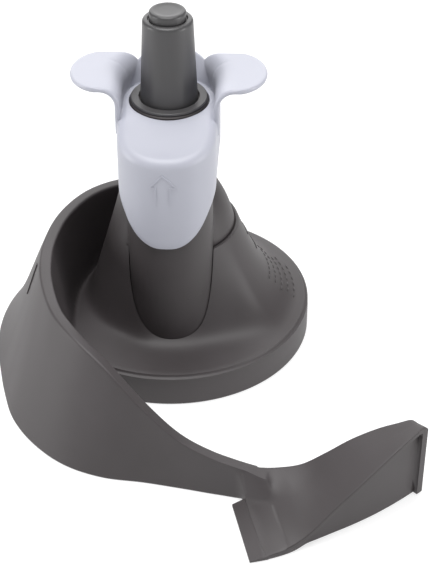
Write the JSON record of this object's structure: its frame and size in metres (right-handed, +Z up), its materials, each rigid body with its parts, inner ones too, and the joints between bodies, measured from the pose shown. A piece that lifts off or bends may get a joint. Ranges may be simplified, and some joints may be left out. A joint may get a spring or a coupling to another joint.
{
  "type": "stirring paddle for a hot-air fryer",
  "caption": "Stirring paddle with a bell hub, a spiral wall that unwinds into an arm with a scoop blade, and a spring-loaded lift-to-release slider with two finger ears.",
  "frame": {"origin": "middle of the paddle's box in plan, on the plane it stands on", "axes": "+Z up along the drive axis, +Y the longest extent, pointing from the scoop blade's side to the back of the hub; the latch housing faces -Y"},
  "size_m": [0.146, 0.1784, 0.1266],
  "materials": {
    "paddle_plastic": "satin",
    "stem_plastic": "satin",
    "slider_plastic": "satin",
    "nylon": "matte",
    "steel": "brushed"
  },
  "bodies": {
    "paddle": {"hub_skirt": "paddle_plastic", "spiral_wall": "paddle_plastic", "scoop_blade": "paddle_plastic", "hub_tower": "paddle_plastic", "base_plate": "paddle_plastic", "base_screw_1": "steel", "base_screw_2": "steel", "base_screw_3": "steel", "drive_socket": "nylon", "stem": "stem_plastic", "stem_button": "stem_plastic", "stem_seal": "stem_plastic", "spring_stop": "nylon", "slider_spring": "steel"},
    "slider": {"release_slider": "slider_plastic", "lift_rod": "steel", "cam_pin": "steel"},
    "pawl": {"lock_pawl": "nylon"}
  },
  "joints": [
    {"name": "slider_lift", "type": "slide", "parent": "paddle", "child": "slider", "axis": [0, 0, 1], "range_m": [0, 0.006], "stiffness_N_per_m": 250, "springref_m": -0.006, "deforming": ["slider_spring"]},
    {"name": "pawl_retract", "type": "slide", "parent": "paddle", "child": "pawl", "axis": [0, 1, 0], "range_m": [-0.003, 0]}
  ],
  "couplings": [
    {"joint": "pawl_retract", "follows": "slider_lift", "ratio": -0.5}
  ]
}
